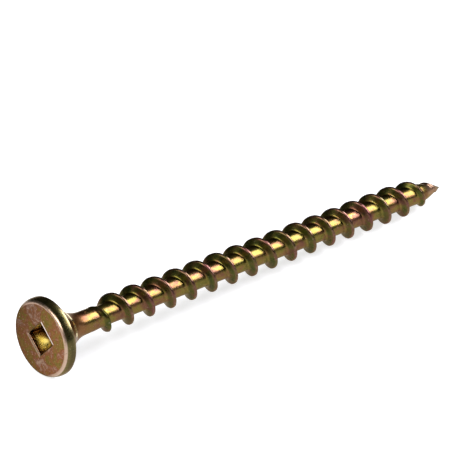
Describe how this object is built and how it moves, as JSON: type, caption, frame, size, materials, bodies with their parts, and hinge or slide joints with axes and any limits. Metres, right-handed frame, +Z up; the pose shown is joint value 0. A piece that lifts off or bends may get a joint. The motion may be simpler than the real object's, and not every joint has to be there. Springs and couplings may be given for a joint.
{
  "type": "deck screw",
  "caption": "Yellow-zinc wood screw with a flat bugle head, square drive recess, coarse right-hand thread and sharp gimlet point.",
  "frame": {"origin": "middle of the bounding box, on the surface that the screw lies on", "axes": "+X from the head to the point along the lying screw, +Z up, +Y across"},
  "size_m": [0.0636, 0.009, 0.0091],
  "materials": {
    "yellow_zinc_steel": "yellow chromate over zinc plating, satin, with olive, gold and pink patches"
  },
  "bodies": {
    "root": {"screw": "yellow_zinc_steel"}
  },
  "joints": []
}
